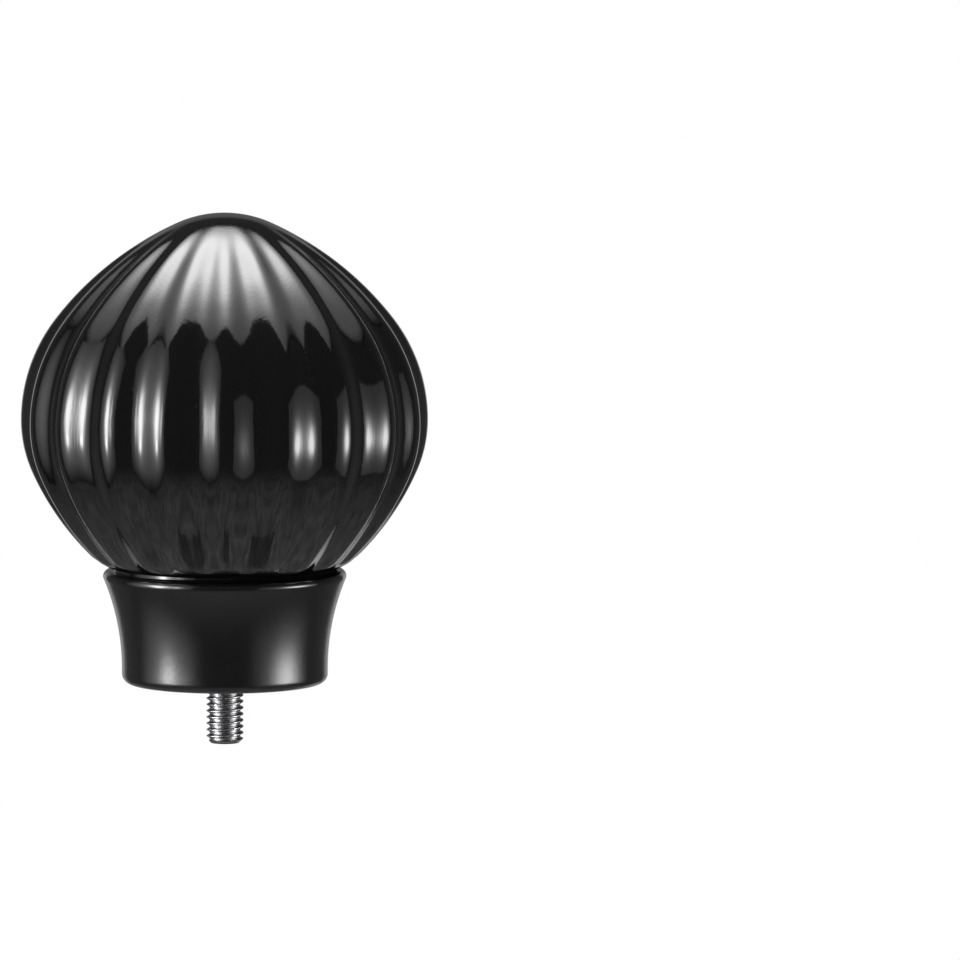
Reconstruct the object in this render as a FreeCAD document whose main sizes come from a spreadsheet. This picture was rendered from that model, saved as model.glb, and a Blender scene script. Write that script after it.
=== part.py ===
import FreeCAD, Part
import math
import os

from FreeCAD import Vector
import Sketcher

# Curtain pole finial: a fluted onion-shaped head on a flared collar, held by an M6 stud.
# Millimetres. The origin is the middle of the collar's bottom face, which lies against the
# pole's end. +Z is the common axis and points to the tip of the head; the stud points to -Z.

doc = FreeCAD.newDocument("curtain_pole_finial")

# Driving sizes, one cell each. Angles are in degrees.
SIZES = [
    # The head's crest line, from its widest level up to the tip. Each angle is the one between
    # the axis and the tangent.
    ("head_radius", 32.3, "radius over the flute crests at the widest level"),
    ("belly_arc", 26.4, "radius of the arc above the widest level"),
    ("belly_angle", 37.8, "tangent angle where that arc ends"),
    ("shoulder_arc", 50.4, "radius of the long arc of the shoulder"),
    ("shoulder_angle", 66.0, "tangent angle where the dome of the tip starts"),
    ("tip_flat", 0.3, "radius of the tiny flat that closes the tip"),
    # The same line, from the widest level down to the foot.
    ("waist_arc", 20.5, "radius of the arc below the widest level"),
    ("waist_angle", 24.0, "tangent angle where that arc ends"),
    ("flank_arc", 43.4, "radius of the long arc of the lower flank"),
    ("flank_angle", 45.3, "tangent angle where the flank ends"),
    ("foot_arc", 6.0, "radius of the arc that gathers the flutes"),
    ("foot_angle", 60.4, "tangent angle where that arc ends"),
    ("heel_arc", 25.0, "radius of the shallow cone below it"),
    ("heel_angle", 64.0, "tangent angle where the head rolls under"),
    ("toe_arc", 0.5, "radius of the roll at the foot"),
    # The flutes.
    ("flute_count", 20, "number of rounded ribs around the head"),
    ("flute_share", 0.04, "depth of a valley as a share of the crest radius"),
    ("flute_start_radius", 6.0, "crest radius where the flutes start to show"),
    ("flute_full_radius", 17.3, "crest radius where they have their full depth"),
    ("flute_foot_fade", 1.8, "height over which they fade out towards the foot"),
    ("flute_foot_share", 0.2, "share of that fade that is still to come at the foot"),
    ("flute_phase", 0.6, "angle of one crest from the +X axis"),
    # The seat of the head in the collar.
    ("foot_lift", 0.75, "from the top of the collar up to the underside of the flutes"),
    ("neck_radius", 17.8, "radius of the plain neck that stands on the rim of the collar"),
    ("neck_sink", 0.4, "how far the neck and the spigot reach up into the flutes"),
    # The collar.
    ("collar_height", 18.0, "bottom face to the top of the lip"),
    ("collar_radius", 16.35, "smallest outside radius, near the bottom"),
    ("collar_waist", 2.2, "level of the smallest radius"),
    ("collar_flare_arc", 38.0, "radius of the concave flare"),
    ("collar_edge", 1.5, "rounding of the bottom edge"),
    ("lip_round", 0.9, "radius of the rounded lip"),
    ("rim_width", 2.42, "flat of the rim, from the lip's rounding in to the recess"),
    ("recess_depth", 2.5, "depth of the recess below the lip"),
    ("recess_gap", 0.2, "clearance of the head's spigot in the recess"),
    # The stud, with its two M6 threads left plain at their outside diameter.
    ("stud_radius", 2.95, "outside radius of the threads"),
    ("stud_shank_radius", 2.67, "radius of the bare shank between them, inside the collar"),
    ("stud_reach", 9.6, "how far the stud stands out below the collar"),
    ("stud_hold", 12.0, "how far it is screwed into the head's spigot and body"),
    ("stud_chamfer", 0.7, "chamfer on both ends"),
    ("bore_gap", 0.25, "clearance of the stud in the collar's bore"),
    ("socket_gap", 0.03, "clearance of the stud in the head's socket"),
]

# Sizes that follow from the ones above. The lip's circle touches the flare's circle, so their
# centres are both radii apart, and the recess is as wide as the rim leaves it.
DERIVED = [
    (
        "lip_centre",
        "=collar_radius + collar_flare_arc - sqrt((collar_flare_arc + lip_round)^2"
        " - (collar_height - lip_round - collar_waist)^2)",
        "radius to the middle of the lip's rounding",
    ),
    ("recess_radius", "=lip_centre - rim_width", "radius of the recess that takes the head"),
]

sheet = doc.addObject("Spreadsheet::Sheet", "Sizes")
for row, (alias, content, meaning) in enumerate(SIZES + DERIVED, start=1):
    sheet.set(f"A{row}", alias)
    sheet.set(f"B{row}", str(content))
    sheet.set(f"C{row}", meaning)
    sheet.setAlias(f"B{row}", alias)
doc.recompute()


def size(alias):
    """The number in the cell of that name."""
    return float(sheet.get(alias))


def bind(thing, **expressions):
    """Tie properties of an object to cells of the sheet."""
    for name, expression in expressions.items():
        thing.setExpression(name, expression)


def origin_plane(body, role):
    """One of the three planes in a body's own origin."""
    return next(f for f in body.Origin.OriginFeatures if f.Role == role)


def new_sketch(body, name, plane):
    """An empty sketch on one of the body's origin planes."""
    sketch = body.newObject("Sketcher::SketchObject", name)
    sketch.AttachmentSupport = [(origin_plane(body, plane), "")]
    sketch.MapMode = "FlatFace"
    return sketch


def constrain(sketch, rules, sizes):
    """Add geometric rules to a sketch, then sizes that are tied to cells of the sheet."""
    for rule in rules:
        sketch.addConstraint(Sketcher.Constraint(*rule))
    for rule, expression in sizes:
        index = sketch.addConstraint(Sketcher.Constraint(*rule))
        sketch.setExpression(f"Constraints[{index}]", expression)


# The spline over the head's crest line passes through this many points on each arc.
STEPS_UP = 3
STEPS_DOWN = 2


def arc_chain(start, arcs, rise, steps):
    """Points (r, z) from the start along arcs that run into one another without a corner.

    Each arc is its radius and the angle between axis and tangent where it ends. The first
    one leaves the start along the axis. rise is 1 on the way up and -1 on the way down. All
    arcs bend towards the axis.
    """
    points = [start]
    angle = 0.0
    for radius, end_angle in arcs:
        r, z = points[-1]
        first = math.radians(angle)
        for i in range(1, steps + 1):
            turn = math.radians(angle + (end_angle - angle) * i / steps)
            fall = radius * (math.cos(first) - math.cos(turn))
            move = radius * (math.sin(turn) - math.sin(first))
            points.append((r - fall, z + rise * move))
        angle = end_angle
    return points


def crest_line():
    """Points (r, z) over a flute's crest, from under the foot up to the tip.

    The arcs are laid out from the widest level, then lifted so that the foot hangs just
    above the collar.
    """
    widest = (size("head_radius"), 0.0)
    up = [
        (size("belly_arc"), size("belly_angle")),
        (size("shoulder_arc"), size("shoulder_angle")),
    ]
    down = [
        (size("waist_arc"), size("waist_angle")),
        (size("flank_arc"), size("flank_angle")),
        (size("foot_arc"), size("foot_angle")),
        (size("heel_arc"), size("heel_angle")),
        (size("toe_arc"), 90),
    ]
    # The dome's radius is the one that would end level on the axis.
    shoulder_end = arc_chain(widest, up, 1, STEPS_UP)[-1]
    dome_arc = shoulder_end[0] / math.cos(math.radians(size("shoulder_angle")))
    last_angle = 90 - math.degrees(math.asin(size("tip_flat") / dome_arc))
    rising = arc_chain(widest, up + [(dome_arc, last_angle)], 1, STEPS_UP)
    falling = arc_chain(widest, down, -1, STEPS_DOWN)
    lift = size("collar_height") + size("foot_lift") - falling[-1][1]
    return [(r, z + lift) for r, z in falling[:0:-1] + rising]


def smooth_step(x):
    """0 below 0, 1 above 1, and a soft S between."""
    x = min(max(x, 0.0), 1.0)
    return x * x * (3 - 2 * x)


def valley_line(crest):
    """Points (r, z) along a flute's valley, one for each point of the crest line.

    A valley lies inside the crest by a share of the crest's radius. It fades out on the
    smooth dome of the tip and where the flutes roll under at the foot.
    """
    start = size("flute_start_radius")
    full = size("flute_full_radius")
    foot = crest[0][1]
    valley = []
    for r, z in crest:
        fade_tip = smooth_step((r - start) / (full - start))
        fade_foot = smooth_step((z - foot) / size("flute_foot_fade") + size("flute_foot_share"))
        valley.append((r * (1 - size("flute_share") * fade_tip * fade_foot), z))
    return valley


def line_spline(points, parameters):
    """A spline through points (r, z) in the XZ plane."""
    spline = Part.BSplineCurve()
    vectors = [Vector(r, 0, z) for r, z in points]
    spline.interpolate(Points=vectors, Parameters=parameters)
    return spline


def fluted_solid():
    """The head without its spigot: one surface of rounded ribs, closed by two flats.

    The control points of the surface lie on circles. Around a circle they swing between the
    poles of the crest line and those of the valley line as a cosine, once for each flute.
    """
    crest = crest_line()
    lengths = [0.0]
    for (r0, z0), (r1, z1) in zip(crest, crest[1:]):
        lengths.append(lengths[-1] + math.hypot(r1 - r0, z1 - z0))
    crest_curve = line_spline(crest, lengths)
    valley_curve = line_spline(valley_line(crest), lengths)

    count = int(round(size("flute_count")))
    per_flute = 4
    around = count * per_flute
    degree = 3
    # A uniform cubic spline flattens a wave and shrinks a circle by these amounts.
    wave_gain = 6 / (4 + 2 * math.cos(2 * math.pi / per_flute))
    circle_gain = 6 / (4 + 2 * math.cos(2 * math.pi / around))
    poles = []
    # The surface begins over its second control point, so that one is put on a crest.
    for i in range(-1, around - 1):
        swing = wave_gain * math.cos(2 * math.pi * i / per_flute)
        turn = FreeCAD.Rotation(Vector(0, 0, 1), size("flute_phase") + 360 * i / around)
        column = []
        for high, low in zip(crest_curve.getPoles(), valley_curve.getPoles()):
            middle = (high + low) / 2
            r = circle_gain * (middle.x + swing * (high.x - low.x) / 2)
            column.append(turn.multVec(Vector(r, 0, middle.z)))
        poles.append(column)

    surface = Part.BSplineSurface()
    surface.buildFromPolesMultsKnots(
        poles,
        [1] * (around + 1),
        crest_curve.getMultiplicities(),
        [i / around for i in range(around + 1)],
        crest_curve.getKnots(),
        True,
        False,
        degree,
        crest_curve.Degree,
    )
    # The surface is cut along every crest and every valley, so that each face is one flank.
    u_first, u_last, v_first, v_last = surface.bounds()
    step = (u_last - u_first) / (2 * count)
    flanks = []
    for i in range(2 * count):
        flank = surface.copy()
        flank.segment(u_first + i * step, u_first + (i + 1) * step, v_first, v_last)
        flanks.append(flank.toShape())
    flats = []
    for level in (crest[0][1], crest[-1][1]):
        rims = [e for f in flanks for e in f.Edges if is_level(e, level)]
        flats.append(Part.Face(Part.Wire(Part.__sortEdges__(rims))))
    shell = Part.makeShell(flanks + flats)
    shell.sewShape()
    solid = Part.Solid(shell)
    if solid.Volume < 0:
        solid.reverse()
    return solid


SAME_LEVEL = 1e-6


def is_level(edge, level):
    """Whether both ends of an edge lie at one height."""
    heights = [vertex.Point.z for vertex in edge.Vertexes]
    return max(abs(z - level) for z in heights) < SAME_LEVEL


def make_head():
    """The fluted head with its plain neck, spigot and blind socket for the stud."""
    ribs = doc.addObject("Part::Feature", "flutes")
    ribs.Shape = fluted_solid()

    neck = doc.addObject("Part::Cylinder", "neck")
    bind(neck, Radius="Sizes.neck_radius", Height="Sizes.foot_lift + Sizes.neck_sink")
    bind(neck, **{"Placement.Base.z": "Sizes.collar_height"})

    spigot = doc.addObject("Part::Cylinder", "spigot")
    bind(
        spigot,
        Radius="Sizes.recess_radius - Sizes.recess_gap",
        Height="Sizes.recess_depth + Sizes.foot_lift + Sizes.neck_sink",
    )
    bind(spigot, **{"Placement.Base.z": "Sizes.collar_height - Sizes.recess_depth"})

    whole = doc.addObject("Part::MultiFuse", "head_blank")
    whole.Shapes = [ribs, neck, spigot]

    socket = doc.addObject("Part::Cylinder", "stud_socket")
    bind(socket, Radius="Sizes.stud_radius + Sizes.socket_gap", Height="Sizes.stud_hold")
    bind(socket, **{"Placement.Base.z": "Sizes.collar_height - Sizes.recess_depth"})

    head = doc.addObject("Part::Cut", "head")
    head.Base = whole
    head.Tool = socket
    head.Label = "fluted_head"
    return head


def make_collar():
    """The flared collar, turned about the axis: recess on top, bore through the middle."""
    body = doc.addObject("PartDesign::Body", "collar")
    body.Label = "flared_collar"
    sketch = new_sketch(body, "collar_section", "XZ_Plane")

    # A first outline from the same sizes; the constraints below then hold it.
    wall = size("collar_radius")
    height = size("collar_height")
    waist = size("collar_waist")
    flare = size("collar_flare_arc")
    edge = size("collar_edge")
    lip = size("lip_round")
    recess = size("recess_radius")
    floor = height - size("recess_depth")
    bore = size("stud_radius") + size("bore_gap")
    lip_z = height - lip
    lip_x = size("lip_centre")
    touch = math.atan2(lip_z - waist, lip_x - wall - flare)

    def at(x, z):
        return Vector(x, z, 0)

    def arc(x, z, radius, start, end):
        return Part.ArcOfCircle(Part.Circle(at(x, z), Vector(0, 0, 1), radius), start, end)

    bottom = sketch.addGeometry(Part.LineSegment(at(bore, 0), at(wall - edge, 0)))
    round_edge = sketch.addGeometry(arc(wall - edge, edge, edge, -math.pi / 2, 0))
    side = sketch.addGeometry(Part.LineSegment(at(wall, edge), at(wall, waist)))
    flared = sketch.addGeometry(arc(wall + flare, waist, flare, touch, math.pi))
    lip_arc = sketch.addGeometry(arc(lip_x, lip_z, lip, touch - math.pi, math.pi / 2))
    top = sketch.addGeometry(Part.LineSegment(at(lip_x, height), at(recess, height)))
    recess_wall = sketch.addGeometry(Part.LineSegment(at(recess, height), at(recess, floor)))
    recess_floor = sketch.addGeometry(Part.LineSegment(at(recess, floor), at(bore, floor)))
    bore_wall = sketch.addGeometry(Part.LineSegment(at(bore, floor), at(bore, 0)))

    first, last, origin = 1, 2, (-1, 1)
    rules = [
        ("Tangent", bottom, last, round_edge, first),
        ("Tangent", round_edge, last, side, first),
        ("Tangent", side, last, flared, last),
        ("Tangent", flared, first, lip_arc, first),
        ("Tangent", lip_arc, last, top, first),
        ("Coincident", top, last, recess_wall, first),
        ("Coincident", recess_wall, last, recess_floor, first),
        ("Coincident", recess_floor, last, bore_wall, first),
        ("Coincident", bore_wall, last, bottom, first),
        ("Horizontal", bottom),
        ("Vertical", side),
        ("Horizontal", top),
        ("Vertical", recess_wall),
        ("Horizontal", recess_floor),
        ("Vertical", bore_wall),
        ("PointOnObject", bottom, first, -1),
    ]
    sizes = [
        (("Radius", round_edge, edge), "Sizes.collar_edge"),
        (("Radius", flared, flare), "Sizes.collar_flare_arc"),
        (("Radius", lip_arc, lip), "Sizes.lip_round"),
        (("DistanceX", *origin, side, last, wall), "Sizes.collar_radius"),
        (("DistanceY", *origin, side, last, waist), "Sizes.collar_waist"),
        (("DistanceY", *origin, top, first, height), "Sizes.collar_height"),
        (("DistanceX", *origin, recess_wall, first, recess), "Sizes.recess_radius"),
        (("DistanceY", recess_wall, last, recess_wall, first, height - floor), "Sizes.recess_depth"),
        (("DistanceX", *origin, bottom, first, bore), "Sizes.stud_radius + Sizes.bore_gap"),
    ]
    constrain(sketch, rules, sizes)

    turned = body.newObject("PartDesign::Revolution", "collar_turned")
    turned.Profile = sketch
    turned.ReferenceAxis = (sketch, ["V_Axis"])
    turned.Angle = 360
    return body


def make_stud():
    """The double-ended stud: a thread below, a bare shank in the collar, a thread in the head."""
    body = doc.addObject("PartDesign::Body", "stud")
    body.Label = "threaded_stud"
    sketch = new_sketch(body, "stud_circle", "XY_Plane")
    bind(sketch, **{"AttachmentOffset.Base.z": "-Sizes.stud_reach"})
    circle = Part.Circle(Vector(0, 0, 0), Vector(0, 0, 1), size("stud_radius"))
    ring = sketch.addGeometry(circle)
    constrain(
        sketch,
        [("Coincident", ring, 3, -1, 1)],
        [(("Radius", ring, size("stud_radius")), "Sizes.stud_radius")],
    )

    rod = body.newObject("PartDesign::Pad", "stud_rod")
    rod.Profile = sketch
    bind(
        rod,
        Length="Sizes.stud_reach + Sizes.collar_height - Sizes.recess_depth + Sizes.stud_hold",
    )
    doc.recompute()
    rims = [f"Edge{i}" for i, e in enumerate(rod.Shape.Edges, start=1) if e.isClosed()]
    ends = body.newObject("PartDesign::Chamfer", "stud_ends")
    ends.Base = (rod, rims)
    bind(ends, Size="Sizes.stud_chamfer")

    section = new_sketch(body, "shank_section", "XZ_Plane")
    inner = size("stud_shank_radius")
    outer = size("stud_radius") + size("bore_gap")
    top = size("collar_height") - size("recess_depth")
    corners = [Vector(inner, 0), Vector(outer, 0), Vector(outer, top), Vector(inner, top)]
    low, right, high, left = [
        section.addGeometry(Part.LineSegment(a, b))
        for a, b in zip(corners, corners[1:] + corners[:1])
    ]
    first, last, origin = 1, 2, (-1, 1)
    rules = [
        ("Coincident", low, last, right, first),
        ("Coincident", right, last, high, first),
        ("Coincident", high, last, left, first),
        ("Coincident", left, last, low, first),
        ("Horizontal", low),
        ("Vertical", right),
        ("Horizontal", high),
        ("Vertical", left),
        ("PointOnObject", low, first, -1),
    ]
    sizes = [
        (("DistanceX", *origin, low, first, inner), "Sizes.stud_shank_radius"),
        (("DistanceX", *origin, low, last, outer), "Sizes.stud_radius + Sizes.bore_gap"),
        (("DistanceY", right, first, right, last, top), "Sizes.collar_height - Sizes.recess_depth"),
    ]
    constrain(section, rules, sizes)
    shank = body.newObject("PartDesign::Groove", "shank")
    shank.Profile = section
    shank.ReferenceAxis = (section, ["V_Axis"])
    shank.Angle = 360
    return body


pieces = [make_head(), make_collar(), make_stud()]
doc.recompute()

for thing in doc.Objects:
    if "Invalid" in thing.State or "Error" in thing.State:
        raise RuntimeError(f"{thing.Name} did not compute: {thing.State}")
for piece in pieces:
    shape = piece.Shape
    if shape.isNull() or not shape.isValid() or len(shape.Solids) != 1:
        raise RuntimeError(f"{piece.Label} is not one valid solid")

os.makedirs("parts", exist_ok=True)
for piece in pieces:
    piece.Shape.exportStep(f"parts/{piece.Label}.step")
    box = piece.Shape.optimalBoundingBox()
    print(
        f"{piece.Label}: volume {piece.Shape.Volume:.0f} mm3,",
        f"radius {box.XMax:.2f}, from z {box.ZMin:.2f} to {box.ZMax:.2f}",
    )
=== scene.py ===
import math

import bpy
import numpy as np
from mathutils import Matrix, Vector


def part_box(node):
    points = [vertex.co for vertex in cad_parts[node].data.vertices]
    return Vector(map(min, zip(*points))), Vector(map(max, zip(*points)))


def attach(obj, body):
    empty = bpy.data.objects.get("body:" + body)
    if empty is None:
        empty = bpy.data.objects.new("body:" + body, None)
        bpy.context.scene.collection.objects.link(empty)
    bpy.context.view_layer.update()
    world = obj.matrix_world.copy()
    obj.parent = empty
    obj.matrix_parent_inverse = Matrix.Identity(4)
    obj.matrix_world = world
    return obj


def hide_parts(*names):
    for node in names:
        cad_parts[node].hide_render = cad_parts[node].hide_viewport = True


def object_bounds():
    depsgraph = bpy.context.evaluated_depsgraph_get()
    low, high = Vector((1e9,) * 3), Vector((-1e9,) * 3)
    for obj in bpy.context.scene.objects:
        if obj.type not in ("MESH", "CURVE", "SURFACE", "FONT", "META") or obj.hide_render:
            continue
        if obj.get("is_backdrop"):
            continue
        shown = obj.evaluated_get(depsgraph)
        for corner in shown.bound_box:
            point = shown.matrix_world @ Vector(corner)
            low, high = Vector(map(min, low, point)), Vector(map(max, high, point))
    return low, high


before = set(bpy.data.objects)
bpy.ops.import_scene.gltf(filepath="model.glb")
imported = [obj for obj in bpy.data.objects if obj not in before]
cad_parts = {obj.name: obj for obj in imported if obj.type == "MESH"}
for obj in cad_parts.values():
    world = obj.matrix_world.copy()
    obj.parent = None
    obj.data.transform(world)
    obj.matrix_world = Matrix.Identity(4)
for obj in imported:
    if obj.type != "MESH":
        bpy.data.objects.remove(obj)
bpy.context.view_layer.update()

# %% [markdown]
# A curtain pole finial: an onion-shaped head with rounded flutes, a flared collar under it
# and a bare threaded stud that screws into the pole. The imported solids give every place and
# size. They could be dressed as they are, but a black mirror finish shows each flat facet, so
# each piece is worked out again here as a dense smooth surface of the same form.
# Everything is in metres, +Z is the axis, and z = 0 is the collar's bottom face.

MM = 0.001

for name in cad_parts:
    low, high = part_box(name)
    print(name, "from z", round(low[2] / MM, 2), "to", round(high[2] / MM, 2), "mm")

# %% [markdown]
# All three pieces are rings stacked along the axis, so one builder serves them. A ring is a
# row of points around the axis. Rows are joined by four-sided faces, and a ring of radius
# zero would leave a pinched hole, so the two ends become single points with a fan of
# triangles each. A collar has no end: its last ring joins its first.

# %% A mesh from stacked rings
def ring_faces(rows, around, closed):
    """Four-sided faces between neighbouring rings, turned outwards when rings go upwards."""
    i = np.arange(rows if closed else rows - 1)[:, None]
    j = np.arange(around)[None, :]
    above = (i + 1) % rows
    beside = (j + 1) % around
    corners = [i * around + j, i * around + beside, above * around + beside, above * around + j]
    return np.stack(np.broadcast_arrays(*corners), axis=-1).reshape(-1, 4)


def stacked_piece(name, rings, ends=None, corner_degrees=35):
    """A mesh object from rings (rows, around, 3), shut by two end points or onto itself."""
    rows, around, _ = rings.shape
    points = rings.reshape(-1, 3)
    faces = ring_faces(rows, around, closed=ends is None).tolist()
    if ends is not None:
        first, last = len(points), len(points) + 1
        points = np.vstack([points, ends])
        j = np.arange(around)
        beside = (j + 1) % around
        top = (rows - 1) * around
        faces += np.stack([beside, j, np.full(around, first)], axis=1).tolist()
        faces += np.stack([top + j, top + beside, np.full(around, last)], axis=1).tolist()
    mesh = bpy.data.meshes.new(name)
    mesh.from_pydata(points.tolist(), [], faces)
    mesh.polygons.foreach_set("use_smooth", np.ones(len(mesh.polygons), dtype=bool))
    mesh.set_sharp_from_angle(angle=math.radians(corner_degrees))
    mesh.update()
    piece = bpy.data.objects.new(name, mesh)
    bpy.context.scene.collection.objects.link(piece)
    triangles = sum(len(f) - 2 for f in faces)
    print(name, "has", len(points), "points and", triangles, "triangles")
    return piece


print("two rings of 4 points are joined by", len(ring_faces(2, 4, closed=False)), "faces")

# %% [markdown]
# The head is what one sees first. Its outline is a chain of arcs with no corner between
# them: out from a narrow foot, round the belly, up a long shoulder and over a small dome.
# Twenty flutes run along it. They could be cut out with tubes, but here crest and valley are
# equally soft, so the radius simply swings like a cosine across a flute. The swing is a share
# of the radius, which keeps the ribs in proportion where they narrow, and it dies away on the
# dome and under the foot.

# %% The head's outline over a crest
COLLAR_HEIGHT = 18.0 * MM
FOOT_LIFT = 0.75 * MM
HEAD_RADIUS = 32.3 * MM
BELLY_ARC, BELLY_TURN = 26.4 * MM, 37.8
SHOULDER_ARC, SHOULDER_TURN = 50.4 * MM, 66.0
DOME_TURN = 89.5
WAIST_ARC, WAIST_TURN = 20.5 * MM, 24.0
FLANK_ARC, FLANK_TURN = 43.4 * MM, 45.3
FOOT_ARC, FOOT_TURN = 6.0 * MM, 60.4
HEEL_ARC, HEEL_TURN = 25.0 * MM, 64.0
TOE_ARC, TOE_TURN = 0.5 * MM, 90.0


def arc(r, z, radius, turn_from, turn_to, rise, steps):
    """Points (r, z) on an arc that leaves (r, z) and bends towards the axis.

    The tangent makes turn_from degrees with the axis at the start and turn_to at the end, so
    r falls by radius times the difference of the cosines, and z moves by radius times the
    difference of the sines. rise is 1 going up and -1 going down.
    """
    turn = np.radians(np.linspace(turn_from, turn_to, steps + 1)[1:])
    first = math.radians(turn_from)
    fall = radius * (math.cos(first) - np.cos(turn))
    move = radius * (np.sin(turn) - math.sin(first))
    return np.stack([r - fall, z + rise * move], axis=1)


widest = (HEAD_RADIUS, 0.0)
belly = arc(*widest, BELLY_ARC, 0, BELLY_TURN, 1, 44)
shoulder = arc(*belly[-1], SHOULDER_ARC, BELLY_TURN, SHOULDER_TURN, 1, 56)
dome_radius = shoulder[-1, 0] / math.cos(math.radians(SHOULDER_TURN))
dome = arc(*shoulder[-1], dome_radius, SHOULDER_TURN, DOME_TURN, 1, 16)
waist = arc(*widest, WAIST_ARC, 0, WAIST_TURN, -1, 24)
flank = arc(*waist[-1], FLANK_ARC, WAIST_TURN, FLANK_TURN, -1, 34)
foot = arc(*flank[-1], FOOT_ARC, FLANK_TURN, FOOT_TURN, -1, 10)
heel = arc(*foot[-1], HEEL_ARC, FOOT_TURN, HEEL_TURN, -1, 6)
toe = arc(*heel[-1], TOE_ARC, HEEL_TURN, TOE_TURN, -1, 6)
down = np.vstack([waist, flank, foot, heel, toe])
up = np.vstack([belly, shoulder, dome])
crest = np.vstack([down[::-1], [widest], up])
crest[:, 1] += COLLAR_HEIGHT + FOOT_LIFT - crest[0, 1]
print("the head is widest at z", round(crest[np.argmax(crest[:, 0]), 1] / MM, 2), "mm")
print("its tip is at z", round(crest[-1, 1] / MM, 2), "mm")

# %% Flutes over the outline
FLUTES = 20
FLUTE_SHARE = 0.04
FLUTE_PHASE = 0.6
FLUTE_START = 6.0 * MM
FLUTE_FULL = 17.3 * MM
FLUTE_FOOT_FADE = 1.8 * MM
FLUTE_FOOT_SHARE = 0.2
STEPS_PER_FLUTE = 20


def smooth_step(x):
    """0 below 0, 1 above 1, and three squares less two cubes between."""
    x = np.clip(x, 0, 1)
    return x * x * (3 - 2 * x)


def fluted_rings(outline):
    """Rings (rows, around, 3) over the crest outline.

    The radius at angle a is the crest's, less the flute's depth times half of one minus the
    cosine of twenty times a.
    """
    r, z = outline[:, 0], outline[:, 1]
    tip = smooth_step((r - FLUTE_START) / (FLUTE_FULL - FLUTE_START))
    foot_fade = smooth_step((z - z[0]) / FLUTE_FOOT_FADE + FLUTE_FOOT_SHARE)
    depth = FLUTE_SHARE * r * tip * foot_fade
    angle = np.arange(FLUTES * STEPS_PER_FLUTE) * 2 * math.pi / (FLUTES * STEPS_PER_FLUTE)
    swing = (1 - np.cos(FLUTES * angle)) / 2
    angle = angle + math.radians(FLUTE_PHASE)
    radius = r[:, None] - depth[:, None] * swing[None, :]
    height = np.broadcast_to(z[:, None], radius.shape)
    return np.stack([radius * np.cos(angle), radius * np.sin(angle), height], axis=-1)


flute_depth = FLUTE_SHARE * HEAD_RADIUS
print("a flute is", round(flute_depth / MM, 2), "mm deep where the head is widest")

# %% [markdown]
# Under the flutes the head is plainly round. A short neck stands on the collar, a spigot
# drops into the collar's recess, and a socket in its middle holds the stud. Only the neck
# shows when all is put together. It could be a piece of its own, but it belongs to the head,
# so its rings are stacked under the fluted ones.

# %% The plain seat under the flutes, and the head
RECESS_RADIUS = 16.0 * MM
RECESS_DEPTH = 2.5 * MM
SPIGOT_GAP = 0.2 * MM
NECK_RADIUS = 17.8 * MM
STUD_HOLD = 12.0 * MM
SOCKET_RADIUS = 2.98 * MM
SOCKET_END_RING = 0.5 * MM


def plain_rings(outline, around):
    """Rings (rows, around, 3) that are true circles of radius r at height z."""
    angle = np.arange(around) * 2 * math.pi / around + math.radians(FLUTE_PHASE)
    r, z = outline[:, :1], outline[:, 1:]
    height = np.broadcast_to(z, (len(outline), around))
    return np.stack([r * np.cos(angle), r * np.sin(angle), height], axis=-1)


recess_floor = COLLAR_HEIGHT - RECESS_DEPTH
stud_top = recess_floor + STUD_HOLD
spigot = RECESS_RADIUS - SPIGOT_GAP
seat = np.array([
    (SOCKET_END_RING, stud_top),
    (SOCKET_RADIUS, stud_top),
    (SOCKET_RADIUS, recess_floor),
    (spigot, recess_floor),
    (spigot, COLLAR_HEIGHT),
    (NECK_RADIUS, COLLAR_HEIGHT),
    (NECK_RADIUS, COLLAR_HEIGHT + FOOT_LIFT),
])
head_rings = np.vstack([plain_rings(seat, FLUTES * STEPS_PER_FLUTE), fluted_rings(crest)])
head = stacked_piece(
    "gloss_head",
    head_rings,
    ends=[(0, 0, stud_top), (0, 0, crest[-1, 1])],
)
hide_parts("fluted_head")
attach(head, "root")

# %% [markdown]
# The collar is a turned ring. Its side is one concave arc that leaves the straight foot
# without a corner and runs out into a small round lip; both circles touch, so their centres
# stand the sum of their radii apart. The section is a closed loop that is spun round the
# axis. A lathe modifier would do it too, but rings keep the lip evenly dense.

# %% The collar's section, spun
COLLAR_RADIUS = 16.35 * MM
WAIST_LEVEL = 2.2 * MM
FLARE_RADIUS = 38.0 * MM
EDGE_RADIUS = 1.5 * MM
LIP_RADIUS = 0.9 * MM
BORE_RADIUS = 3.2 * MM
INNER_EDGE_EASE = 0.15 * MM
COLLAR_AROUND = 256


def circle_part(x, z, radius, start, end, steps):
    """Points on a circle about (x, z) from one angle to another, in radians."""
    a = np.linspace(start, end, steps)
    return np.stack([x + radius * np.cos(a), z + radius * np.sin(a)], axis=1)


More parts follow.
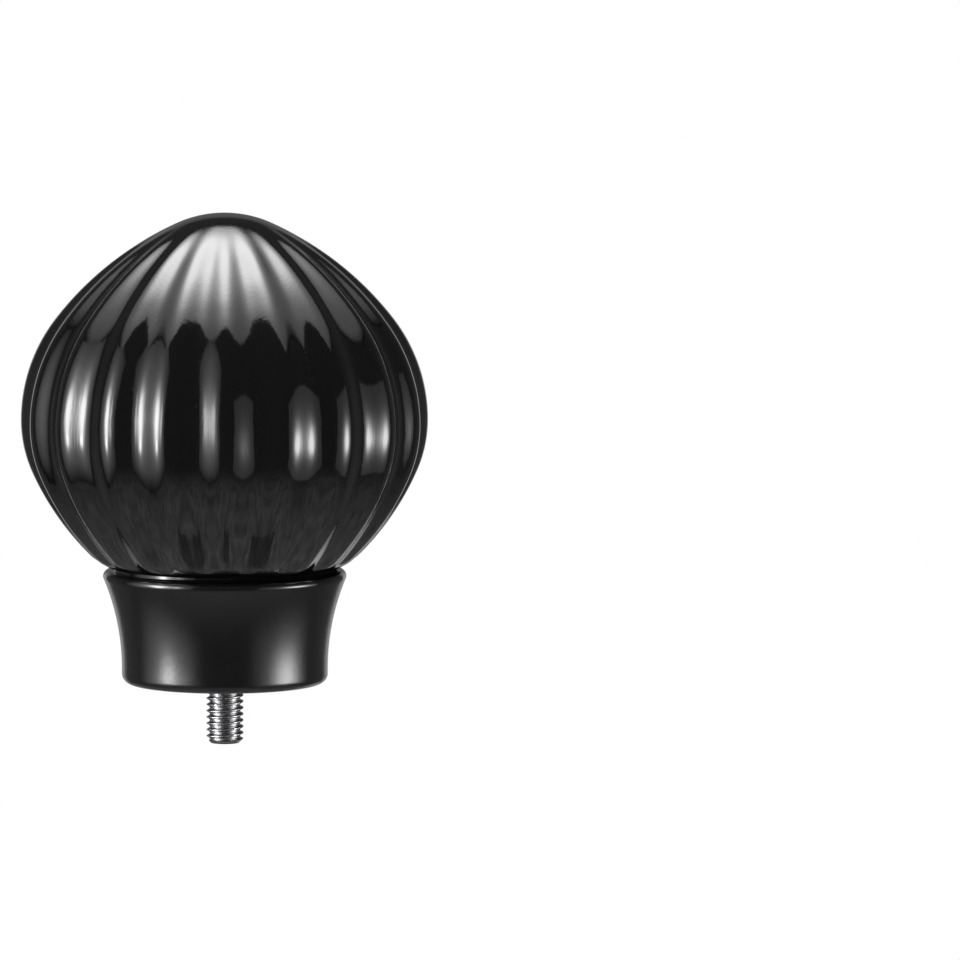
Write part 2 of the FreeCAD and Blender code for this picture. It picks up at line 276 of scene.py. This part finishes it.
flare_x = COLLAR_RADIUS + FLARE_RADIUS
lip_z = COLLAR_HEIGHT - LIP_RADIUS
lip_x = flare_x - math.sqrt((FLARE_RADIUS + LIP_RADIUS) ** 2 - (lip_z - WAIST_LEVEL) ** 2)
touch = math.atan2(lip_z - WAIST_LEVEL, lip_x - flare_x)
ease = INNER_EDGE_EASE
section = np.vstack([
    [(BORE_RADIUS + ease, 0.0), ((BORE_RADIUS + COLLAR_RADIUS) / 2, 0.0)],
    circle_part(COLLAR_RADIUS - EDGE_RADIUS, EDGE_RADIUS, EDGE_RADIUS, -math.pi / 2, 0, 20),
    circle_part(flare_x, WAIST_LEVEL, FLARE_RADIUS, math.pi, touch, 60),
    circle_part(lip_x, lip_z, LIP_RADIUS, touch - math.pi, math.pi / 2, 24)[1:],
    circle_part(RECESS_RADIUS + ease, COLLAR_HEIGHT - ease, ease, math.pi / 2, math.pi, 6),
    [(RECESS_RADIUS, recess_floor), (BORE_RADIUS, recess_floor), (BORE_RADIUS, ease)],
])
collar = stacked_piece("satin_collar", plain_rings(section, COLLAR_AROUND))
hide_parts("flared_collar")
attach(collar, "root")
print("lip radius", round((lip_x + LIP_RADIUS) / MM, 2), "mm")

# %% [markdown]
# The stud has an M6 thread at each end and a bare shank between them, hidden in the collar.
# A screw thread is one ridge wound round a rod. On a grid of angle and height the ridge is
# simply a wave whose phase is height over pitch less the share of a turn, so crests climb
# one pitch for each turn. A screw modifier would need its ends trimmed, and the wave doesn't.
# A rolled thread has a narrow flat crest, so the wave is clipped at the top, and a rounded
# root, so it is raised to a power. Both ends are chamfered by a cone that cuts it off.

# %% The thread
STUD_RADIUS = 2.95 * MM
PITCH = 1.0 * MM
THREAD_DEPTH = 0.52 * MM
BELOW_THE_CREST = 0.86
ROOT_ROUNDNESS = 1.9
STUD_REACH = 9.6 * MM
STUD_CHAMFER = 0.7 * MM
SHANK_RADIUS = 2.67 * MM
SHANK_EASE = 0.3 * MM
ROWS_PER_PITCH = 18
STUD_AROUND = 72

stud_rows = int(round((stud_top + STUD_REACH) / PITCH * ROWS_PER_PITCH)) + 1
height = np.linspace(-STUD_REACH, stud_top, stud_rows)[:, None]
angle = np.arange(STUD_AROUND)[None, :] * 2 * math.pi / STUD_AROUND
turns = height / PITCH - angle / (2 * math.pi)
wave = np.abs(2 * (turns % 1.0) - 1)
ridge = np.clip(wave / BELOW_THE_CREST, 0, 1) ** ROOT_ROUNDNESS
radius = STUD_RADIUS - THREAD_DEPTH * (1 - ridge)
from_end = np.minimum(height + STUD_REACH, stud_top - height)
cone = STUD_RADIUS - STUD_CHAMFER + from_end
radius = np.minimum(radius, cone)
in_collar = smooth_step(height / SHANK_EASE) * smooth_step((recess_floor - height) / SHANK_EASE)
radius = radius + (SHANK_RADIUS - radius) * in_collar
stud_rings = np.stack([
    radius * np.cos(angle),
    radius * np.sin(angle),
    np.broadcast_to(height, radius.shape),
], axis=-1)
stud = stacked_piece("m6_stud", stud_rings, ends=[(0, 0, -STUD_REACH), (0, 0, stud_top)],
                     corner_degrees=50)
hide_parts("threaded_stud")
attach(stud, "root")

# %% [markdown]
# Shader sums are easier to read as sums. A small class wraps a socket, so that plus, minus
# and times between sockets add Math nodes, and every other node comes from one method that
# takes its type, its settings and its inputs.

# %% A wrapper for sockets
class Value:
    """A number that varies over a surface: one output socket of a node tree."""

    def __init__(self, tree, socket):
        self.tree = tree
        self.socket = socket

    def _math(self, operation, a, b):
        return self.tree.node("ShaderNodeMath", {"operation": operation}, [a, b])

    def __add__(self, other):
        return self._math("ADD", self, other)

    def __sub__(self, other):
        return self._math("SUBTRACT", self, other)

    def __mul__(self, other):
        return self._math("MULTIPLY", self, other)

    def __truediv__(self, other):
        return self._math("DIVIDE", self, other)

    def __pow__(self, other):
        return self._math("POWER", self, other)

    def __rsub__(self, other):
        return self._math("SUBTRACT", other, self)

    def __rtruediv__(self, other):
        return self._math("DIVIDE", other, self)

    __radd__ = __add__
    __rmul__ = __mul__


# %% A maker of nodes
class Tree:
    """The node tree of a material, a lamp card or the world."""

    def __init__(self, owner):
        owner.use_nodes = True
        self.nodes = owner.node_tree.nodes
        self.links = owner.node_tree.links
        self.nodes.clear()

    def put(self, node, key, value):
        """Set one input of a node to a number, a colour or a link."""
        socket = node.inputs[key]
        if isinstance(value, Value):
            self.links.new(value.socket, socket)
        else:
            socket.default_value = value

    def node(self, kind, settings=None, inputs=None, out=0):
        """A new node with its settings made first; inputs are a list or a dict."""
        node = self.nodes.new(kind)
        for key, value in (settings or {}).items():
            setattr(node, key, value)
        pairs = inputs.items() if isinstance(inputs, dict) else enumerate(inputs or [])
        for key, value in pairs:
            self.put(node, key, value)
        return Value(self, node.outputs[out]) if node.outputs else None

    def parts(self, vector):
        """The x, y and z of a vector as three values."""
        first = self.node("ShaderNodeSeparateXYZ", inputs=[vector])
        return [Value(self, socket) for socket in first.socket.node.outputs]

    def rays(self):
        """1 for rays from the camera, and 1 for rays off a mirror, else 0."""
        camera_ray = self.node("ShaderNodeLightPath", out="Is Camera Ray")
        return camera_ray, Value(self, camera_ray.socket.node.outputs["Is Glossy Ray"])

    def ramp(self, value, low, high):
        """0 where value is low, 1 where it is high, and a soft S between."""
        settings = {"interpolation_type": "SMOOTHSTEP"}
        return self.node("ShaderNodeMapRange", settings, [value, low, high, 0.0, 1.0])

    def mix(self, share, a, b):
        """Colour a where share is 0 and colour b where it is 1."""
        settings = {"data_type": "RGBA"}
        return self.node("ShaderNodeMix", settings, {0: share, 6: a, 7: b}, out=2)

    def noise(self, where, scale, detail=2.0, roughness=0.5):
        """Soft cloudy noise between 0 and 1, with about as many clouds in a metre as scale."""
        inputs = {"Vector": where, "Scale": scale, "Detail": detail, "Roughness": roughness}
        return self.node("ShaderNodeTexNoise", inputs=inputs)

    def bump(self, height, distance):
        """A normal that leans as a relief of that height would make it."""
        inputs = {"Height": height, "Distance": distance, "Strength": 1.0}
        return self.node("ShaderNodeBump", inputs=inputs)


# %% [markdown]
# The head is polished black plastic: almost no colour of its own, so all one sees is what it
# mirrors. A rougher black would need no such care, but its highlights would have no edges. A
# perfect mirror looks drawn, so this one isn't quite flat. A low, wide ripple makes mirrored
# edges waver, fine upright streaks give them a hairy rim, and a little dust lies in the
# grooves. Only the lower neck is left unpolished, a little higher up on the +X side.

# %% Gloss black for the head
NECK_SLANT = 0.028


def gloss_black():
    """Polished black, with dust where the flutes' cosine is lowest and a matt lower neck."""
    material = bpy.data.materials.new("gloss_black_lacquer")
    tree = Tree(material)
    where = tree.node("ShaderNodeTexCoord", out="Object")
    x, y, z = tree.parts(where)
    upright = tree.node("ShaderNodeMapping", inputs={"Vector": where, "Scale": (1, 1, 0.12)})
    swirl = tree.noise(where, 28.0)
    streaks = tree.noise(upright, 2600.0)
    ripple = tree.noise(where, 140.0, 1.0)
    specks = tree.noise(where, 2600.0, 1.0)
    relief = swirl * 1.5 + ripple * 0.6 + streaks * 0.06
    around = tree.node("ShaderNodeMath", {"operation": "ARCTAN2"}, [y, x])
    flute_turn = (around - math.radians(FLUTE_PHASE)) * FLUTES
    swing = tree.node("ShaderNodeMath", {"operation": "COSINE"}, [flute_turn])
    groove = tree.ramp(swing, -0.96, -0.995)
    dust = tree.ramp(specks + 0.07 * groove, 0.72, 0.82)
    colour = tree.mix(swirl, (0.0035, 0.0035, 0.0038, 1), (0.0050, 0.0049, 0.0050, 1))
    colour = tree.mix(dust, colour, (0.018, 0.018, 0.018, 1))
    polished = tree.node("ShaderNodeBsdfPrincipled", inputs={
        "Base Color": colour,
        "Roughness": 0.05 + 0.05 * streaks + 0.20 * dust,
        "IOR": 1.55,
        "Specular IOR Level": 1.0,
        "Normal": tree.bump(relief, 0.15 * MM),
    })
    matt = tree.node("ShaderNodeBsdfDiffuse", inputs={"Color": (0.006, 0.006, 0.006, 1)})
    slanted = z - NECK_SLANT * x
    shine = tree.ramp(slanted, COLLAR_HEIGHT + 0.44 * MM, COLLAR_HEIGHT + 0.58 * MM)
    shader = tree.node("ShaderNodeMixShader", inputs=[shine, matt, polished])
    tree.node("ShaderNodeOutputMaterial", inputs={"Surface": shader})
    return material


head.data.materials.append(gloss_black())
print("the head's finish has", len(head.data.materials[0].node_tree.nodes), "nodes")

# %% [markdown]
# The collar is satin paint, rough enough to smear a lamp into a soft glow. The grain of
# the paint could be made with geometry, but it is about as fine as a pixel, so a shallow bump
# does it. Over the lip the paint pulls thin and smooth, and there it shines.

# %% Satin black for the collar
def satin_black():
    """Soft black, whose grain and roughness fade out over the lip."""
    material = bpy.data.materials.new("satin_black_paint")
    tree = Tree(material)
    where = tree.node("ShaderNodeTexCoord", out="Object")
    _, _, z = tree.parts(where)
    cloud = tree.noise(where, 60.0, 3.0)
    grain = tree.noise(where, 3900.0, 1.0)
    fine = tree.noise(where, 9000.0, 1.0)
    colour = tree.mix(cloud, (0.0062, 0.0062, 0.0068, 1), (0.0092, 0.0092, 0.0100, 1))
    thin = tree.ramp(z, COLLAR_HEIGHT - 1.6 * MM, COLLAR_HEIGHT - 0.8 * MM)
    shader = tree.node("ShaderNodeBsdfPrincipled", inputs={
        "Base Color": colour,
        "Roughness": 0.11 + 0.05 * cloud + 0.08 * grain - 0.07 * thin,
        "IOR": 1.55,
        "Specular IOR Level": 1.0,
        "Normal": tree.bump((grain * 0.6 + fine * 0.4) * (1 - thin), 0.030 * MM),
    })
    tree.node("ShaderNodeOutputMaterial", inputs={"Surface": shader})
    return material


collar.data.materials.append(satin_black())
print("the collar's finish has", len(collar.data.materials[0].node_tree.nodes), "nodes")

# %% [markdown]
# The stud is zinc over steel: bright on the rubbed crests. Painted shade makes it darker down
# in the roots and near-black on the flanks and the cut end. These follow the distance from
# the axis and from the end, so no mask has to be painted. Its fine marks run along the rod,
# so they smear a lamp around it and not along it, which is what the anisotropy does.

# %% Zinc plate for the stud
def zinc_plate():
    """Metal coloured by the distance from the axis: root and flank with painted shade, then
    crest.
    """
    material = bpy.data.materials.new("bright_zinc_plate")
    tree = Tree(material)
    where = tree.node("ShaderNodeTexCoord", out="Object")
    x, y, z = tree.parts(where)
    from_axis = (x * x + y * y) ** 0.5
    crest_share = tree.ramp(from_axis, STUD_RADIUS - THREAD_DEPTH, STUD_RADIUS - 0.1 * MM)
    stains = tree.noise(where, 700.0, 4.0, 0.6)
    scratches = tree.noise(where, 5200.0, 3.0, 0.6)
    # Painted shade: the roots get a darker metal colour than the rubbed crests, so the thread
    # looks shaded down in its roots.
    root = (0.70, 0.70, 0.72, 1)
    rubbed = (0.92, 0.92, 0.94, 1)
    plate = tree.mix(crest_share, root, rubbed)
    # Painted shade: the thread's flanks get a near-black colour.
    flank = tree.ramp(from_axis, STUD_RADIUS - 0.44 * MM, STUD_RADIUS - 0.30 * MM)
    flank = flank * (1 - tree.ramp(from_axis, STUD_RADIUS - 0.14 * MM, STUD_RADIUS - 0.04 * MM))
    # Painted shade: the cut end of the stud gets a near-black colour.
    cut = 1 - tree.ramp(z, 0.10 * MM - STUD_REACH, 0.40 * MM - STUD_REACH)
    colour = tree.mix(stains * 0.3, plate, (0.40, 0.40, 0.41, 1))
    colour = tree.mix(0.8 * flank, colour, (0.10, 0.10, 0.10, 1))
    colour = tree.mix(cut, colour, (0.05, 0.05, 0.05, 1))
    shader = tree.node("ShaderNodeBsdfPrincipled", inputs={
        "Base Color": colour,
        "Metallic": 1.0,
        "Roughness": 0.15 + 0.10 * stains,
        "Anisotropic": 0.95,
        "Normal": tree.bump(scratches, 0.012 * MM),
    })
    tree.node("ShaderNodeOutputMaterial", inputs={"Surface": shader})
    return material


stud.data.materials.append(zinc_plate())
print("the stud's finish has", len(stud.data.materials[0].node_tree.nodes), "nodes")

# %% [markdown]
# A black mirror is lit by what it reflects, so the lamps are cards: flat rectangles that
# glow. Each is a dim sheet of cloth with the hot spots of lamps behind it. One hangs
# overhead, one stands on each side, a dim one leans low at the back, and the front stays
# dark. The cards are hidden from the camera itself. Area lamps could do the same, but they
# are evenly bright, and here the fall from a hot spot to the edge is what draws the ribs.

# %% One glowing card
TARGET = np.array([0.0, 0.0, 0.042])
WHITE = (1, 1, 1, 1)


def card(name, azimuth, elevation, distance, size, glow, spots, soft):
    """A glowing rectangle that faces the head from that direction.

    azimuth turns from the front towards +X and elevation lifts from level, in degrees. size
    is the full width and height. Each spot is a strength, a place on the card, and a width
    and height: it adds the strength divided by one plus q squared, where q is the squared
    distance from the place in units of the width and height. soft holds the widths over
    which the left, right, lower and upper edges fade. Lengths are in metres.
    """
    a, e = math.radians(azimuth), math.radians(elevation)
    back = np.array([math.sin(a) * math.cos(e), -math.cos(a) * math.cos(e), math.sin(e)])
    across = np.array([math.cos(a), math.sin(a), 0.0])
    over = np.cross(back, across)
    corners = np.array([(-1, -1), (1, -1), (1, 1), (-1, 1)]) * size / 2
    middle = TARGET + back * distance
    mesh = bpy.data.meshes.new(name)
    mesh.from_pydata([tuple(middle + across * u + over * v) for u, v in corners], [],
                     [(0, 1, 2, 3)])
    flat = mesh.uv_layers.new(name="UVMap")
    flat.data.foreach_set("uv", corners.ravel())
    sheet = bpy.data.objects.new(name, mesh)
    bpy.context.scene.collection.objects.link(sheet)
    sheet.visible_camera = False
    sheet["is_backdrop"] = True

    material = bpy.data.materials.new(name)
    tree = Tree(material)
    u, v, _ = tree.parts(tree.node("ShaderNodeUVMap"))
    wide, high = size[0] / 2, size[1] / 2
    inside = tree.ramp(u, -wide, soft[0] - wide) * tree.ramp(u, wide, wide - soft[1])
    inside = inside * tree.ramp(v, -high, soft[2] - high) * tree.ramp(v, high, high - soft[3])
    strength = glow
    for peak, place, spread in spots:
        du = (u - place[0]) / spread[0]
        dv = (v - place[1]) / spread[1]
        strength = strength + peak / (1 + (du * du + dv * dv) ** 2)
    strength = strength * inside
    light = tree.node("ShaderNodeEmission", inputs={"Color": WHITE, "Strength": strength})
    tree.node("ShaderNodeOutputMaterial", inputs={"Surface": light})
    mesh.materials.append(material)
    print(name, "is", distance, "m away and has", len(spots), "hot spots")


# %% Four cards round the head
card("overhead_card", 180, 80, 0.50, (1.20, 0.58), 0.40,
     [(6.7, (0.027, -0.005), (0.172, 0.17))], (0.15, 0.15, 0.10, 0.01))
card("left_card", -71, 5, 0.60, (1.04, 1.36), 0.18,
     [(9.3, (0.060, 0.0), (0.106, 0.139)),
      (0.3, (0.0, 0.0), (0.40, 0.45)),
      (3.6, (0.28, 0.0), (0.05, 0.13)),
      (7.5, (0.060, -0.17), (0.050, 0.05))],
     (0.30, 0.02, 0.36, 0.15))
card("right_card", 65, -7, 0.60, (0.76, 0.62), 0.20,
     [(7.2, (0.078, -0.021), (0.130, 0.086))], (0.01, 0.01, 0.01, 0.01))
card("low_back_card", 180, -36, 0.80, (1.00, 0.40), 0.35,
     [(0.6, (-0.40, 0.0), (0.20, 0.30))], (0.15, 0.15, 0.12, 0.12))

# %% [markdown]
# The floor and the surroundings are pale for the camera: a white sweep. Mirror rays see a
# dimmer room. In the photograph the black head mirrors a dark studio, and in a white one it
# would turn grey. So for those rays the front of the room is nearly dark, the floor is a
# grey pool of painted light that fades away, with a painted shadow of the finial right under
# it, and the white sweep shows only straight behind, as a ring. It is this ring that draws a
# thin bright line along the outline. White walls all round would be simpler, but they wash
# out the ribs.

# %% The white sweep in the mirror
ROOM_GLOW = 0.05


def white_behind(tree, backwards):
    """What mirror rays see of the white sweep: a ring round the finial's own shadow.

    backwards is the +Y share of the ray's direction, so 1 is straight back.
    """
    ring = tree.ramp(backwards, 0.86, 0.90) * (1 - 0.8 * tree.ramp(backwards, 0.95, 0.99))
    return 0.05 * tree.ramp(backwards, 0.0, 0.7) + 0.60 * ring


print("mirror rays see", ROOM_GLOW, "of white in the rest of the room")

# %% Floor
FLOOR_LEVEL = -0.5
FLOOR_REACH = 3.0
# The painted shadow of the finial on the floor: how far forward, how wide, how long, and how soft
# its edge.
PAINTED_SHADOW_FORWARD = 0.09
PAINTED_SHADOW_WIDTH = 0.168
PAINTED_SHADOW_LENGTH = 0.180
PAINTED_SHADOW_BLUR = 0.010


def pale_floor():
    """White for the camera. For mirror rays it glows like a patchy pool, with a painted shadow.
    """
    material = bpy.data.materials.new("pale_floor")
    tree = Tree(material)
    camera_ray, glossy_ray = tree.rays()
    where = tree.node("ShaderNodeTexCoord", out="Object")
    x, y, _ = tree.parts(where)
    from_middle = tree.node("ShaderNodeVectorMath", {"operation": "LENGTH"}, [where], out="Value")
    seen = 0.6 + 0.4 * tree.ramp(from_middle, 0.0, 1.1)
    lit = (1 - tree.ramp(from_middle, 0.15, 1.0)) * (2.9 * tree.noise(where, 11.0) - 0.5)
    # A painted shadow: a soft dark rectangle where the finial's shadow falls, a little in front
    # of its foot.
    sheet = 1
    for offset, size in ((x, PAINTED_SHADOW_WIDTH), (y + PAINTED_SHADOW_FORWARD, PAINTED_SHADOW_LENGTH)):
        edge = size / 2
        sheet = sheet * (1 - tree.ramp(offset * offset, edge ** 2, (edge + PAINTED_SHADOW_BLUR) ** 2))
    backwards = y / (x * x + y * y + FLOOR_LEVEL ** 2) ** 0.5
    # The pool of painted light, dimmed by the painted shadow, with the room and the sweep added.
    mirrored = ROOM_GLOW + 0.21 * lit * (1 - 0.7 * sheet) + white_behind(tree, backwards)
    tone = tree.mix(glossy_ray, (0.85, 0.85, 0.85, 1), (0.0, 0.0, 0.0, 1))
    cloth = tree.node("ShaderNodeBsdfDiffuse", inputs={"Color": tone})
    strength = camera_ray * seen + glossy_ray * mirrored
    lift = tree.node("ShaderNodeEmission", inputs={"Color": WHITE, "Strength": strength})
    both = tree.node("ShaderNodeAddShader", inputs=[cloth, lift])
    tree.node("ShaderNodeOutputMaterial", inputs={"Surface": both})
    return material


corners = FLOOR_REACH * np.array([(-1, -1, 0), (1, -1, 0), (1, 1, 0), (-1, 1, 0)])
floor_mesh = bpy.data.meshes.new("floor")
floor_mesh.from_pydata(corners.tolist(), [], [(0, 1, 2, 3)])
floor_mesh.materials.append(pale_floor())
floor = bpy.data.objects.new("floor", floor_mesh)
floor.location.z = FLOOR_LEVEL
bpy.context.scene.collection.objects.link(floor)
floor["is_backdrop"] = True
print("the floor lies", -FLOOR_LEVEL, "m below the collar")

# %% Surroundings
def pale_surroundings():
    """White for the camera, the room and its ring for mirror rays, and faint for all others."""
    world = bpy.data.worlds.new("pale_surroundings")
    tree = Tree(world)
    camera_ray, glossy_ray = tree.rays()
    _, backwards, upwards = tree.parts(tree.node("ShaderNodeTexCoord", out="Generated"))
    ring = white_behind(tree, backwards) * (1 - 0.75 * tree.ramp(upwards, 0.0, 0.3))
    others = 1 - camera_ray - glossy_ray
    strength = camera_ray + glossy_ray * (ROOM_GLOW + ring) + ROOM_GLOW * others
    sky = tree.node("ShaderNodeBackground", inputs={"Color": WHITE, "Strength": strength})
    tree.node("ShaderNodeOutputWorld", inputs={"Surface": sky})
    return world


bpy.context.scene.world = pale_surroundings()
print("the surroundings have", len(bpy.context.scene.world.node_tree.nodes), "nodes")

# %% [markdown]
# The camera looks as the photograph's does: through a long lens and from a little above. It
# is turned aside, so that the finial sits left of the middle. A shifted lens could do that
# too, but a turn of under a degree is plainer and hardly changes the outline.

# %% Camera
PIXELS = 960
PIXELS_PER_MM = 6.3
AXIS_PIXEL = 224.6
COLLAR_BASE_PIXEL = 682.3
ELEVATION = 6.3
DISTANCE = 3.0
SENSOR = 36.0

slope = math.radians(ELEVATION)
aside = (PIXELS / 2 - AXIS_PIXEL) / PIXELS_PER_MM * MM
level = (COLLAR_BASE_PIXEL - PIXELS / 2) / (PIXELS_PER_MM * math.cos(slope)) * MM
aim = np.array([aside, 0.0, level])
eye = np.array([0.0, -DISTANCE * math.cos(slope), level + DISTANCE * math.sin(slope)])
lens = bpy.data.cameras.new("long_lens")
lens.sensor_width = SENSOR
lens.lens = SENSOR * DISTANCE / (PIXELS / PIXELS_PER_MM * MM)
camera = bpy.data.objects.new("camera", lens)
bpy.context.scene.collection.objects.link(camera)
camera.location = eye
forward = Vector(tuple(aim - eye))
camera.rotation_mode = "QUATERNION"
camera.rotation_quaternion = forward.to_track_quat("-Z", "Y")
bpy.context.scene.camera = camera
bpy.context.scene.view_settings.view_transform = "Standard"
print("lens", round(lens.lens, 1), "mm")

# %% Sizes for the record, and the end
dressed_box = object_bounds()
sides = [round((high - low) / MM, 1) for low, high in zip(*dressed_box)]
print("dressed, the part measures", sides, "mm")
